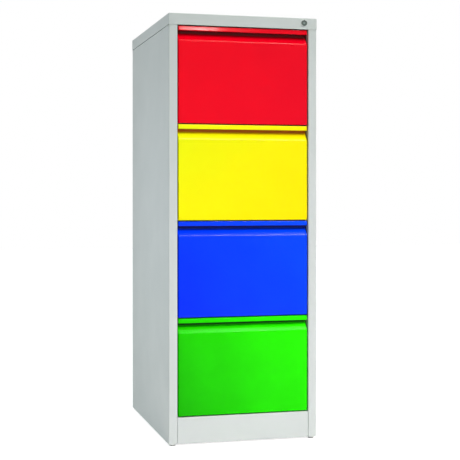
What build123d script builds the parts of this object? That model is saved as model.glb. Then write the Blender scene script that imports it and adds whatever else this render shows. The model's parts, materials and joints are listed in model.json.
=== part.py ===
from build123d import *
import os
from itertools import combinations
from math import cos, radians, sin, sqrt

# Overall size, over the top cap and down to the floor
cabinet_width = 470.0
cabinet_depth = 620.0
cabinet_height = 1304.0
drawer_names = ["drawer_1", "drawer_2", "drawer_3", "drawer_4"]  # from the top down

# Sheet steel and its folds
cap_sheet = 1.0
panel_sheet = 0.8
drawer_sheet = 0.8
bend_inside = 0.8

# Carcass
cap_height = 33.0
stile_width = 26.0
stile_return = 20.0
rear_flange = 18.0
back_top_flange = 12.0
plinth_height = 79.5
plinth_setback = 0.5
pan_flange = 25.0
foot_height = 6.0
foot_across_flats = 16.0
foot_inset = 12.0
foot_plug = 20.0
foot_clearance = 1.0
cap_edge = 0.8

# Posts and cross rails behind the drawer fronts
post_width = 35.0
post_lip = 12.0
post_front_gap = 27.0   # from the end of the stile return to the front post
post_rear_gap = 50.0    # from the back panel to the rear post
post_end_gap = 10.0
rail_height = 20.0
rail_depth = 34.0
rail_gap = 3.0          # from the closed drawer front to the cross rail, filled by the bump stops
bump_size = 9.0
bump_spread = 300.0

# Drawer fronts and the finger-pull pressed into them
front_gap = 3.4
front_setback = 2.0
front_depth = 20.0
end_front_extra = 4.0   # added to the height of the top and bottom fronts
lip_height = 14.0
lip_top_radius = 3.2
lip_under_radius = 2.4
recess_depth = 17.0
recess_wall = 9.0
recess_height = 29.5
recess_radius = 2.0
ridge_radius = 1.2
liner_flange = 10.0

# Drawer trays
tray_back_gap = 29.4    # from the back of the tray to the back panel
tray_clearance = 14.0   # above and below the tray, inside the height of its front
file_rail_upstand = 8.0
file_rail_step = 5.3
tray_flange = 15.0
tray_back_height = 190.0
tray_back_flange = 12.0

# Telescopic slides
slide_thickness = 12.7
slide_height = 45.0
slide_sheet = 1.4
slide_rise = 90.0       # from the tray floor to the middle of the slide
slide_setback = 6.0     # from the drawer front's back to the slide
slide_rear_gap = 9.0    # from the back of the slide to the back of the tray
slide_side_gap = 0.5    # from the opening's edge out to the back of the slide
slide_gap = 0.6         # between neighbouring members and cages
drawer_travel = 530.0
ball_diameter = 4.0
race_clearance = 0.1
race_depth = 0.4
ball_depth = 8.6        # from the back of the slide to the middle of a ball
cage_sheet = 0.5
cage_margin = 52.5      # from a cage to the ends of its two members' overlap, with the drawer pulled out
balls_per_row = 3

# Lock
lock_inset = 42.0       # from the side of the cap to the lock's axis
lock_drop = 15.0        # from the top of the cap to the lock's axis
lock_face_diameter = 20.0
lock_face_height = 2.2
lock_body_diameter = 16.0
lock_body_flats = 13.5
lock_body_length = 22.0
lock_hole_clearance = 0.1
clip_sheet = 1.2
clip_margin = 5.0
plug_diameter = 11.0
plug_clearance = 0.05
plug_tail = 6.0
keyway_width = 1.6
keyway_height = 7.5
keyway_depth = 6.0
cam_thickness = 2.5
cam_gap = 1.2
cam_width = 10.0
cam_tip = 4.0
crank_radius = 9.0
crank_half_turn = 45.0
crank_pin_diameter = 4.0
crank_pin_play = 0.45
bar_thickness = 2.5
bar_width = 15.0
bar_gap = 1.3           # from the cam to the bar, and from the rails' ends to the bar
bar_arm_height = 11.0
bar_tail = 20.0
finger_height = 12.0
finger_reach = 11.5
finger_clearance = 3.0
catch_rise = 180.0      # from the tray floor to the catch
catch_height = 14.0
catch_sheet = 1.5
catch_reach = 9.5
catch_plate = 25.0
catch_play = 2.0
guide_length = 25.0
guide_wall = 4.0
guide_grip = 5.0
guide_clearance = 0.4
guide_count = 3

# Planes of the carcass
side_x = cabinet_width / 2 - cap_sheet
front_y = -cabinet_depth / 2 + cap_sheet
back_y = cabinet_depth / 2 - cap_sheet
cap_bottom = cabinet_height - cap_height
panel_top = cabinet_height - cap_sheet
web_x = side_x - panel_sheet
opening_x = side_x - stile_width
plinth_top = foot_height + plinth_height
back_panel_y = back_y - panel_sheet
back_inside_y = back_panel_y - panel_sheet

# Planes of the drawers
face_y = front_y + front_setback
front_back_y = face_y + front_depth
front_x = opening_x - front_gap
drawer_count = len(drawer_names)
opening_height = cap_bottom - plinth_top
front_height = (opening_height - (drawer_count + 1) * front_gap - 2 * end_front_extra) / drawer_count
tray_height = front_height - 2 * tray_clearance
tray_back_y = back_inside_y - tray_back_gap

# Planes of the posts, rails and slides
slide_x = opening_x + slide_side_gap
tray_x = slide_x - slide_thickness
front_post_y = front_y + stile_return + post_front_gap
rear_post_y = back_inside_y - post_rear_gap - post_width
rail_y = front_back_y + rail_gap
slide_y = front_back_y + slide_setback
slide_length = tray_back_y - slide_rear_gap - slide_y
cage_length = slide_length - drawer_travel / 2 - 2 * cage_margin

# Heights of the slide's flanges and ball rows, from the middle of the slide
race_radius = ball_diameter / 2 + race_clearance
outer_half = slide_height / 2
outer_ball_rise = outer_half - slide_sheet - race_radius + race_depth
mid_half = outer_ball_rise - race_radius + race_depth
inner_ball_rise = mid_half - slide_sheet - race_radius + race_depth
inner_half = inner_ball_rise - race_radius + race_depth

# Places across the slide, from its back towards the drawer
outer_cage_u = slide_sheet + slide_gap
mid_u = outer_cage_u + cage_sheet + slide_gap
inner_cage_u = mid_u + slide_sheet + slide_gap
inner_u = inner_cage_u + cage_sheet + slide_gap

# Planes of the lock
lock_x = cabinet_width / 2 - lock_inset
lock_z = cabinet_height - lock_drop
fascia_y = -cabinet_depth / 2
lock_face_y = fascia_y - lock_face_height
lock_end_y = fascia_y + lock_body_length
cam_y = lock_end_y + cam_gap
bar_y = cam_y + cam_thickness + bar_gap
bar_x = slide_x + bar_gap
catch_y = bar_y + bar_thickness + catch_play
crank_rise = crank_radius * sin(radians(crank_half_turn))
crank_run = crank_radius * cos(radians(crank_half_turn))


def block(x, y, z):
    """Box between the given pairs of coordinates."""
    low = Vector(x[0], y[0], z[0])
    high = Vector(x[1], y[1], z[1])
    size = high - low
    return Pos(*((low + high) * 0.5)) * Box(size.X, size.Y, size.Z)


def rod(x, z, y, radius):
    """Cylinder along Y around the point x, z."""
    length = y[1] - y[0]
    return Pos(x, y[0], z) * Rot(-90, 0, 0) * Cylinder(
        radius, length, align=(Align.CENTER, Align.CENTER, Align.MIN)
    )


def path_normals(path):
    """Unit normals on the left of each stretch of a path."""
    steps = [(b - a).normalized() for a, b in zip(path, path[1:])]
    return [Vector(-step.Y, step.X) for step in steps]


def left_of(path, distance):
    """The path moved to its left by a distance, with its corners mitred."""
    normals = path_normals(path)
    moved = [path[0] + normals[0] * distance]
    for corner, before, after in zip(path[1:-1], normals, normals[1:]):
        moved.append(corner + (before + after) * (distance / (1 + before.dot(after))))
    moved.append(path[-1] + normals[-1] * distance)
    return moved


def fold_radii(path, thickness, inside_radii):
    """Radii of the rounded folds along the path and along its left side."""
    normals = path_normals(path)
    path_radii = []
    left_radii = []
    for before, after, radius in zip(normals, normals[1:], inside_radii):
        turns_left = before.cross(after).Z > 0
        path_radii.append(radius + thickness if turns_left else radius)
        left_radii.append(radius if turns_left else radius + thickness)
    return path_radii, left_radii


def sharp_sheet(points, thickness):
    """Section of a sheet with tight folds along a path, its thickness on the path's left."""
    path = [Vector(*point) for point in points]
    return make_face(Polyline(*path, *reversed(left_of(path, thickness)), close=True))


def folded_sheet(points, thickness, inside_radii):
    """Section of a sheet with rounded folds along a path, its thickness on the path's left."""
    path = [Vector(*point) for point in points]
    path_radii, left_radii = fold_radii(path, thickness, inside_radii)
    left = left_of(path, thickness)
    outline = FilletPolyline(*path, radius=path_radii).edges()
    outline += FilletPolyline(*left, radius=left_radii).edges()
    outline += [Line(path[0], left[0]), Line(path[-1], left[-1])]
    return make_face(outline)


def filled_path(points, thickness, inside_radii):
    """Face enclosed by a folded path and the straight line between its ends."""
    path = [Vector(*point) for point in points]
    path_radii, _ = fold_radii(path, thickness, inside_radii)
    outline = FilletPolyline(*path, radius=path_radii).edges()
    return make_face(outline + [Line(path[-1], path[0])])


def along_x(section, x_min, x_max):
    """Extrude a section drawn in Y and Z."""
    return extrude(Pos(x_min, 0, 0) * (Plane.YZ * section), x_max - x_min, dir=(1, 0, 0))


def along_y(section, y_min, y_max):
    """Extrude a section drawn in X and Z."""
    return extrude(Pos(0, y_min, 0) * (Plane.XZ * section), y_max - y_min, dir=(0, 1, 0))


def along_z(section, z_min, z_max):
    """Extrude a section drawn in X and Y."""
    return extrude(Pos(0, 0, z_min) * section, z_max - z_min, dir=(0, 0, 1))


def group(*pieces):
    """One node holding several separate solids."""
    return Compound([solid for piece in pieces for solid in piece.solids()])


def mirrored(piece):
    """The same piece on the other side of the cabinet."""
    return mirror(piece, Plane.YZ)


def drawer_top(index):
    """Height of the top edge of a drawer front."""
    extra = 0 if index == 0 else end_front_extra
    return cap_bottom - front_gap - index * (front_height + front_gap) - extra


def drawer_bottom(index):
    """Height of the bottom edge of a drawer front."""
    extra = end_front_extra if index in (0, drawer_count - 1) else 0
    return drawer_top(index) - front_height - extra


def tray_floor(index):
    """Height of the underside of a drawer tray."""
    return drawer_top(index) - tray_clearance - tray_height


# Carcass


def side_panel():
    """Left side, folded into the stile at the front and a flange at the back."""
    section = folded_sheet(
        [
            (-side_x + rear_flange, back_y),
            (-side_x, back_y),
            (-side_x, front_y),
            (-opening_x, front_y),
            (-opening_x, front_y + stile_return),
        ],
        panel_sheet,
        [bend_inside] * 3,
    )
    return along_z(section, foot_height, panel_top)


def back_panel():
    """Flat back inside the side panels' rear flanges, turned in along its top."""
    section = sharp_sheet(
        [
            (back_panel_y, foot_height),
            (back_panel_y, panel_top),
            (back_panel_y - back_top_flange, panel_top),
        ],
        panel_sheet,
    )
    half_width = web_x - bend_inside
    return along_x(section, -half_width, half_width)


def top_cap():
    """Lid over the side panels, turned down all round, with the lock's hole in its front."""
    half_width = cabinet_width / 2
    half_depth = cabinet_depth / 2
    cap = block((-half_width, half_width), (-half_depth, half_depth), (cap_bottom, cabinet_height))
    cap = fillet(cap.edges().filter_by(Axis.Z), bend_inside + cap_sheet)
    cap = chamfer(cap.edges().group_by(Axis.Z)[-1], cap_edge)
    hollow = block((-side_x, side_x), (front_y, back_y), (cap_bottom, cabinet_height - cap_sheet))
    hollow = fillet(hollow.edges().filter_by(Axis.Z), bend_inside)
    return cap - hollow - lock_shank((fascia_y, front_y), lock_hole_clearance)


def plinth():
    """Kick plate between the stiles, turned back on all four sides."""
    path = [
        (front_y + stile_return, plinth_top),
        (front_y + plinth_setback, plinth_top),
        (front_y + plinth_setback, foot_height),
        (front_y + stile_return, foot_height),
    ]
    radii = [bend_inside] * 2
    skin = along_x(folded_sheet(path, panel_sheet, radii), -opening_x, opening_x)
    end = along_x(filled_path(path, panel_sheet, radii), -opening_x, -opening_x + panel_sheet)
    return skin + end + mirrored(end)


def base_pan():
    """Floor of the carcass, turned up along both sides and the back, clear of the rear feet."""
    foot_reach = bend_inside + foot_plug + foot_clearance
    pan_front = front_y + panel_sheet + foot_reach
    notch_y = back_inside_y - foot_reach
    rear_x = web_x - foot_reach
    flange_top = foot_height + pan_flange
    across = sharp_sheet(
        [(-web_x, flange_top), (-web_x, foot_height), (web_x, foot_height), (web_x, flange_top)],
        panel_sheet,
    )
    lengthwise = sharp_sheet(
        [(notch_y - panel_sheet, foot_height), (back_inside_y, foot_height), (back_inside_y, flange_top)],
        panel_sheet,
    )
    return along_y(across, pan_front, notch_y) + along_x(lengthwise, -rear_x, rear_x)


def post(y_min):
    """Hat section on the left side panel, from just above the base pan to just under the cap."""
    y_max = y_min + post_width
    face_x = -slide_x - panel_sheet
    section = sharp_sheet(
        [
            (-web_x, y_max + post_lip),
            (-web_x, y_max),
            (face_x, y_max),
            (face_x, y_min),
            (-web_x, y_min),
            (-web_x, y_min - post_lip),
        ],
        panel_sheet,
    )
    return along_z(section, foot_height + pan_flange + post_end_gap, panel_top - post_end_gap)


def posts(y_min):
    """A pair of posts at the same depth."""
    left = post(y_min)
    return group(left, mirrored(left))


def rail_middle(index):
    """Height of the middle of the cross rail under a drawer front."""
    return drawer_bottom(index) - front_gap / 2


def cross_rails():
    """One channel under each drawer front, from post to post."""
    rails = []
    for index in range(drawer_count):
        top = rail_middle(index) + rail_height / 2
        bottom = top - rail_height
        section = sharp_sheet(
            [
                (rail_y + rail_depth, top),
                (rail_y, top),
                (rail_y, bottom),
                (rail_y + rail_depth, bottom),
            ],
            panel_sheet,
        )
        rails.append(along_x(section, -slide_x, slide_x))
    return group(*rails)


def bump_stops():
    """Two rubber pads for each drawer front to close on."""
    stops = []
    half = bump_size / 2
    for index in range(drawer_count):
        height = rail_middle(index) + half
        for x in (-bump_spread / 2, bump_spread / 2):
            stops.append(block((x - half, x + half), (front_back_y, rail_y), (height - half, height + half)))
    return group(*stops)


def foot(y_corner, inward):
    """Left foot: a plug in the folded corner over a hexagonal pad on the floor."""
    x_outer = -web_x + bend_inside
    y_outer = y_corner + inward * bend_inside
    y_plug = sorted((y_outer, y_outer + inward * foot_plug))
    plug = block((x_outer, x_outer + foot_plug), y_plug, (foot_height, foot_height + foot_plug))
    pad = RegularPolygon(foot_across_flats / 2, 6, major_radius=False)
    return plug + along_z(Pos(x_outer + foot_inset, y_outer + inward * foot_inset) * pad, 0, foot_height)


def feet():
    """Four corner feet."""
    left = [foot(front_y + panel_sheet, 1), foot(back_inside_y, -1)]
    return group(*left, *[mirrored(piece) for piece in left])


# Drawers


def front_path(index):
    """Path of a front from its top edge round the lip and the finger-pull to its bottom edge."""
    top = drawer_top(index)
    bottom = drawer_bottom(index)
    lip_bottom = top - lip_height
    recess_back = face_y + recess_depth
    return [
        (front_back_y, top),
        (face_y, top),
        (face_y, lip_bottom),
        (recess_back, lip_bottom),
        (recess_back, lip_bottom - recess_wall),
        (face_y, lip_bottom - recess_height),
        (face_y, bottom),
        (front_back_y, bottom),
    ]


def drawer_front(index):
    """Pressed front, closed at both ends and open at the back."""
    radii = [lip_top_radius, lip_under_radius, bend_inside, recess_radius, ridge_radius, bend_inside]
    skin = along_x(folded_sheet(front_path(index), drawer_sheet, radii), -front_x, front_x)
    end = along_x(filled_path(front_path(index), drawer_sheet, radii), -front_x, -front_x + drawer_sheet)
    return skin + end + mirrored(end)


def drawer_liner(index):
    """Flat inner panel that closes the back of a front."""
    top = drawer_top(index) - drawer_sheet
    bottom = drawer_bottom(index) + drawer_sheet
    section = sharp_sheet(
        [
            (front_back_y - liner_flange, bottom),
            (front_back_y, bottom),
            (front_back_y, top),
            (front_back_y - liner_flange, top),
        ],
        drawer_sheet,
    )
    half_width = front_x - drawer_sheet
    return along_x(section, -half_width, half_width)


def drawer_tray(index):
    """Floor and sides folded from one sheet, with hanging-file rails along the top edges."""
    floor = tray_floor(index)
    top = floor + tray_height
    shelf = top - file_rail_upstand
    rail_x = tray_x - file_rail_step
    left_side = [(-rail_x, top), (-rail_x, shelf), (-tray_x, shelf), (-tray_x, floor)]
    right_side = [(-x, z) for x, z in reversed(left_side)]
    body = along_y(sharp_sheet(left_side + right_side, drawer_sheet), front_back_y, tray_back_y)

    frame_y = (front_back_y, front_back_y + drawer_sheet)
    window_x = tray_x - tray_flange
    frame = block((-tray_x, tray_x), frame_y, (floor, shelf))
    frame -= block((-window_x, window_x), frame_y, (floor + tray_flange, shelf))
    return body + frame


def drawer_back(index):
    """Low rear wall between the sides of the tray."""
    half_width = tray_x - drawer_sheet
    section = sharp_sheet(
        [
            (half_width, tray_back_y - tray_back_flange),
            (half_width, tray_back_y),
            (-half_width, tray_back_y),
            (-half_width, tray_back_y - tray_back_flange),
        ],
        drawer_sheet,
    )
    bottom = tray_floor(index) + drawer_sheet
    return along_z(section, bottom, bottom + tray_back_height)


def lock_catch(index):
    """Angle on the right of the tray that the lock bar's finger stands in front of."""
    section = sharp_sheet(
        [(tray_x, catch_y + catch_plate), (tray_x, catch_y), (tray_x + catch_reach, catch_y)],
        catch_sheet,
    )
    bottom = tray_floor(index) + catch_rise
    return along_z(section, bottom, bottom + catch_height)


# Telescopic slides, drawn for the left side round the middle of the slide's back


def channel(u_min, u_max, half_height, thickness, opens_to_drawer=True):
    """Section of a channel whose web stands at one end of its width."""
    points = [
        (u_max, half_height),
        (u_min, half_height),
        (u_min, -half_height),
        (u_max, -half_height),
    ]
    if not opens_to_drawer:
        points = [(u_min + u_max - u, z) for u, z in reversed(points)]
    return sharp_sheet(points, thickness)


def with_races(section, *rises):
    """Cut a ball groove into both flanges at each given height."""
    for rise in rises:
        for side in (1, -1):
            section -= Pos(ball_depth, side * rise) * RegularPolygon(race_radius, 8, major_radius=False)
    return section


def ball():
    """Bearing ball with twenty flat facets, its corners on the ball's true radius."""
    golden = (1 + sqrt(5)) / 2
    corners = []
    for short in (1, -1):
        for tall in (golden, -golden):
            corners += [Vector(0, short, tall), Vector(tall, 0, short), Vector(short, tall, 0)]
    facets = []
    for three in combinations(corners, 3):
        if max((a - b).length for a, b in combinations(three, 2)) < 2 + race_clearance:
            facets.append(make_face(Polyline(*three, close=True)).face())
    return scale(Solid(Shell(facets)), ball_diameter / 2 / corners[0].length)


def ball_cage(u_min, rise):
    """Strip with a row of balls along each flange."""
    u_max = 2 * ball_depth - inner_u + slide_gap
    y_min = slide_y + (slide_length - cage_length) / 2
    cage = along_y(channel(u_min, u_max, rise + cage_sheet / 2, cage_sheet), y_min, y_min + cage_length)
    spacing = cage_length / balls_per_row
    for row in (rise, -rise):
        for place in range(balls_per_row):
            cage += Pos(ball_depth, y_min + (place + 0.5) * spacing, row) * ball()
    return cage


def slide_member(section, front_shift):
    """Rolled member of a slide, set back a little at both ends."""
    return along_y(section, slide_y + front_shift, slide_y + slide_length - front_shift)


def slide_pieces():
    """The members and cages of one left-hand slide."""
    flange_end = slide_thickness - slide_gap
    outer = with_races(channel(0, flange_end, outer_half, slide_sheet), outer_ball_rise)
    mid = with_races(
        channel(mid_u, flange_end, mid_half, slide_sheet), outer_ball_rise, inner_ball_rise
    )
    inner = with_races(
        channel(inner_u, slide_thickness, inner_half, slide_sheet, opens_to_drawer=False),
        inner_ball_rise,
    )
    return {
        "slide_outer": slide_member(outer, 0),
        "slide_mid": slide_member(mid, slide_sheet),
        "slide_inner": slide_member(inner, 2 * slide_sheet),
        "ball_cages_outer": ball_cage(outer_cage_u, outer_ball_rise),
        "ball_cages_inner": ball_cage(inner_cage_u, inner_ball_rise),
    }


def placed_pair(piece, index):
    """A slide piece on both sides of a drawer."""
    left = Pos(-slide_x, 0, tray_floor(index) + slide_rise) * piece
    return group(left, mirrored(left))


# Lock


def lock_shank(y, clearance=0.0):
    """Threadless body of the lock, or the hole for it, with two flats that keep it from turning."""
    flat = lock_body_flats / 2 + clearance
    reach = lock_body_diameter
    flats = block((lock_x - reach, lock_x + reach), y, (lock_z - flat, lock_z + flat))
    return rod(lock_x, lock_z, y, lock_body_diameter / 2 + clearance) & flats


def lock_housing():
    """Round face and flatted body of the lock, bored for the plug."""
    face = rod(lock_x, lock_z, (lock_face_y, fascia_y), lock_face_diameter / 2)
    bore = rod(lock_x, lock_z, (lock_face_y, lock_end_y), plug_diameter / 2 + plug_clearance)
    return face + lock_shank((fascia_y, lock_end_y)) - bore


def lock_clip():
    """Horseshoe clip pushed over the body's flats behind the cap's front."""
    y = (front_y, front_y + clip_sheet)
    half_height = lock_body_flats / 2 + clip_margin
    slot_start = lock_x - lock_body_diameter / 2
    clip_end = lock_x + lock_body_diameter / 2
    clip = block((slot_start - clip_margin, clip_end), y, (lock_z - half_height, lock_z + half_height))
    slot_z = (lock_z - lock_body_flats / 2, lock_z + lock_body_flats / 2)
    return clip - block((slot_start, clip_end), y, slot_z)


def lock_plug():
    """Turning barrel with a keyway in its face and a square tail for the cam."""
    plug = rod(lock_x, lock_z, (lock_face_y, cam_y), plug_diameter / 2)
    keyway = block(
        (lock_x - keyway_width / 2, lock_x + keyway_width / 2),
        (lock_face_y, lock_face_y + keyway_depth),
        (lock_z - keyway_height / 2, lock_z + keyway_height / 2),
    )
    tail = block(
        (lock_x - plug_tail / 2, lock_x + plug_tail / 2),
        (cam_y, cam_y + cam_thickness),
        (lock_z - plug_tail / 2, lock_z + plug_tail / 2),
    )
    return plug - keyway + tail


def lock_cam():
    """Cam on the plug's tail, with the crank pin at its tip, in the unlocked position."""
    y = (cam_y, cam_y + cam_thickness)
    half = cam_width / 2
    arm = block((-half, crank_radius + cam_tip), y, (-half, half))
    square = block((-plug_tail / 2, plug_tail / 2), y, (-plug_tail / 2, plug_tail / 2))
    pin_end = bar_y + bar_thickness + crank_pin_play
    pin = rod(crank_radius, 0, (cam_y, pin_end), crank_pin_diameter / 2)
    cam = Rot(0, crank_half_turn, 0) * (arm + pin) - square
    return Pos(lock_x, 0, lock_z) * cam


def finger_top(index):
    """Height of the top of a lock bar finger while unlocked."""
    return tray_floor(index) + catch_rise - finger_clearance


def arm_z():
    """Height of the slot in the lock bar's arm while unlocked."""
    return lock_z - crank_rise


def lock_bar():
    """Flat bar that carries the arm and the fingers, unlocked."""
    bottom = finger_top(drawer_count - 1) - finger_height - bar_tail
    top = arm_z() + bar_arm_height / 2
    return block((bar_x, bar_x + bar_width), (bar_y, bar_y + bar_thickness), (bottom, top))


def bar_arm():
    """Arm welded to the top of the lock bar, with a slot for the crank pin."""
    y = (bar_y, bar_y + bar_thickness)
    slot_half = crank_pin_diameter / 2 + crank_pin_play
    slot_start = lock_x + crank_run - slot_half
    slot_end = lock_x + crank_radius + slot_half
    arm_start = slot_start - bar_arm_height / 2 + slot_half
    arm = block((arm_start, bar_x), y, (arm_z() - bar_arm_height / 2, arm_z() + bar_arm_height / 2))
    return arm - block((slot_start, slot_end), y, (arm_z() - slot_half, arm_z() + slot_half))


def bar_fingers():
    """Tabs welded to the edge of the lock bar, one for each drawer."""
    fingers = []
    for index in range(drawer_count):
        z = (finger_top(index) - finger_height, finger_top(index))
        fingers.append(block((bar_x - finger_reach, bar_x), (bar_y, bar_y + bar_thickness), z))
    return group(*fingers)


def bar_guides():
    """Slotted blocks on the right side panel that the lock bar slides in."""
    bar_edge = bar_x + bar_width
    low = finger_top(drawer_count - 1) - finger_height
    high = finger_top(0) + finger_height
    guides = []
    for place in range(guide_count):
        bottom = low + (high - low) * place / (guide_count - 1)
        z = (bottom, bottom + guide_length)
        guide = block(
            (bar_edge - guide_grip, web_x),
            (bar_y - guide_wall, bar_y + bar_thickness + guide_wall),
            z,
        )
        guide -= block(
            (bar_edge - guide_grip, bar_edge + guide_clearance),
            (bar_y - guide_clearance, bar_y + bar_thickness + guide_clearance),
            z,
        )
        guides.append(guide)
    return group(*guides)


# Every node of the cabinet

left_panel = side_panel()
nodes = {
    "side_panel_left": left_panel,
    "side_panel_right": mirrored(left_panel),
    "back_panel": back_panel(),
    "top_cap": top_cap(),
    "plinth": plinth(),
    "base_pan": base_pan(),
    "front_posts": posts(front_post_y),
    "rear_posts": posts(rear_post_y),
    "cross_rails": cross_rails(),
    "bump_stops": bump_stops(),
    "feet": feet(),
    "lock_housing": lock_housing(),
    "lock_clip": lock_clip(),
    "lock_plug": lock_plug(),
    "lock_cam": lock_cam(),
    "lock_bar": lock_bar(),
    "lock_bar_arm": bar_arm(),
    "lock_bar_fingers": bar_fingers(),
    "lock_bar_guides": bar_guides(),
}

slide = slide_pieces()
for number, name in enumerate(drawer_names):
    nodes[name + "_front"] = drawer_front(number)
    nodes[name + "_liner"] = drawer_liner(number)
    nodes[name + "_tray"] = drawer_tray(number)
    nodes[name + "_back"] = drawer_back(number)
    nodes[name + "_lock_catch"] = lock_catch(number)
    for piece_name, piece in slide.items():
        nodes[name + "_" + piece_name] = placed_pair(piece, number)

os.makedirs("parts", exist_ok=True)
for name, shape in nodes.items():
    export_step(shape, "parts/" + name + ".step")
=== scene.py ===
# %% [markdown]
# # A four-drawer steel filing cabinet
#
# The cabinet comes from the imported CAD model as a set of solids: folded panels, drawers,
# telescopic slides and a lock. They are in metres, with the front facing -Y and the floor at z =
# 0. This lesson gives each of them its real finish, models the pieces whose soft edges and small
# parts catch the light, and then sets up the camera and lamps for a photograph of the cabinet on a
# white studio floor.

# %% Load the solids
import bmesh
import bpy
import json
from math import pi, radians, tan
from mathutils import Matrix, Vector


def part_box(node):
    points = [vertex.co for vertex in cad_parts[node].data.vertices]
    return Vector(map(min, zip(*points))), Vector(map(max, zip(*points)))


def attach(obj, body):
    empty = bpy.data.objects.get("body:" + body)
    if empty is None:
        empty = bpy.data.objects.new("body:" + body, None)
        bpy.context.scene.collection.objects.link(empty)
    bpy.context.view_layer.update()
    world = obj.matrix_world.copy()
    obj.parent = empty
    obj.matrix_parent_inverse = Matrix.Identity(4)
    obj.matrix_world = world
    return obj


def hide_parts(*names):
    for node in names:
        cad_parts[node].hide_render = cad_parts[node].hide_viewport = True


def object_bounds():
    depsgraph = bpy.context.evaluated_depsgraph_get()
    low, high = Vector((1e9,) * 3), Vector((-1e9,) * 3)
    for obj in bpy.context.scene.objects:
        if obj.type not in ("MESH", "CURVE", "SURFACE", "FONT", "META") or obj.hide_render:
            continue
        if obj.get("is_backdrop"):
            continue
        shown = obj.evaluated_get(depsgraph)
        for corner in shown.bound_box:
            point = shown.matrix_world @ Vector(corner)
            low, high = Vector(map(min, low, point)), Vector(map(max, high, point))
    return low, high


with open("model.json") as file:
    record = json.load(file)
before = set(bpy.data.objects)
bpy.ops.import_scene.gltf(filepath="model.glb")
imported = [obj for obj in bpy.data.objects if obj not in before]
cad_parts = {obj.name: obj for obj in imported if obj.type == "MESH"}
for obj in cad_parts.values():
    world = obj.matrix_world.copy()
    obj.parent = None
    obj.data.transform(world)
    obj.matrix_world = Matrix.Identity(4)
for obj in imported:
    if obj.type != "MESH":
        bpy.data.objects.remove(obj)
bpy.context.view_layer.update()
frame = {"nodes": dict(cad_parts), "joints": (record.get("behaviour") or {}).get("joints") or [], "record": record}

MM = 0.001
nodes = frame["nodes"]
record = frame["record"]

# %% [markdown]
# ## Colours and shader nodes
#
# Paint colours are written as sRGB hex values, the numbers that a picture file holds. Blender's
# shaders work in linear light, so one function converts them. A second small function adds a
# shader node, fills its sockets and sets its options, which keeps every material below to a few
# readable lines.

# %% Helpers for materials
def linear(hex_colour):
    """Linear RGBA of an sRGB hex colour such as "cbd0cc"."""
    rgba = []
    for start in (0, 2, 4):
        value = int(hex_colour[start:start + 2], 16) / 255
        rgba.append(value / 12.92 if value <= 0.04045 else ((value + 0.055) / 1.055) ** 2.4)
    return (*rgba, 1.0)


def add_node(tree, kind, sockets=None, **options):
    """Add a node with its options, and fill its sockets with values or other nodes' outputs."""
    node = tree.nodes.new(kind)
    for name, value in options.items():
        setattr(node, name, value)
    for key, value in (sockets or {}).items():
        if isinstance(value, bpy.types.NodeSocket):
            tree.links.new(value, node.inputs[key])
        else:
            node.inputs[key].default_value = value
    return node


def new_material(name):
    """A material with an empty tree, and the place in object space that its patterns read."""
    material = bpy.data.materials.new(name)
    material.use_nodes = True
    material.node_tree.nodes.clear()
    place = add_node(material.node_tree, "ShaderNodeTexCoord").outputs["Object"]
    return material, material.node_tree, place


def finish_material(tree, **sockets):
    """End a tree in one Principled shader. Sockets are named with underscores for spaces."""
    named = {key.replace("_", " "): value for key, value in sockets.items()}
    shader = add_node(tree, "ShaderNodeBsdfPrincipled", named)
    add_node(tree, "ShaderNodeOutputMaterial", {"Surface": shader.outputs["BSDF"]})


# %% [markdown]
# ## Powder coat
#
# The cabinet is painted with powder: a dry spray that melts in an oven and flows out over the
# steel. It leaves an even colour, a faint orange peel a few millimetres across, and a coat that
# lies a touch thicker in some places. The thin sheet below it is never dead flat either, and its
# slow waves make long highlights break up. An image of paint would repeat and smear, so noise at
# those three real sizes does the work: the patches shift colour and gloss slightly, and the
# ripple and the peel only tilt the surface.
#
# Each coloured front also carries painted light. Its colour is painted lighter towards one corner
# and darker towards the other, as painted shading across the face, and the inside of the
# finger-pull is painted darker, as painted shade under the lip. Both follow the place on the front,
# which keeps them where they are when the drawer moves.

# %% Powder coat
PEEL = 3.2 * MM           # from one crest of the orange peel to the next
PEEL_HEIGHT = 0.02 * MM
RIPPLE = 60.0 * MM        # slow waves of the pressed sheet
RIPPLE_HEIGHT = 0.25 * MM
PATCH = 110.0 * MM        # areas of thicker and thinner coat
PATCH_GLOSS = 0.03        # how much rougher or smoother a patch can be
PATCH_SHARE = 0.4         # how far the patches shift the colour of a front
SHADING_RANGE = (-0.2, 0.8)       # painted shading that the sweep adds to that, at its darker and its lighter end
PULL_DEPTH = 5.0 * MM     # how far behind the face the painted shade of a finger-pull begins
UNSHADED_NORMAL_Z = 0.95          # upward part of the normal of a face that gets no painted shade
SHADED_NORMAL_Z = 0.75     # and of one that gets the whole painted shade


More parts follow.
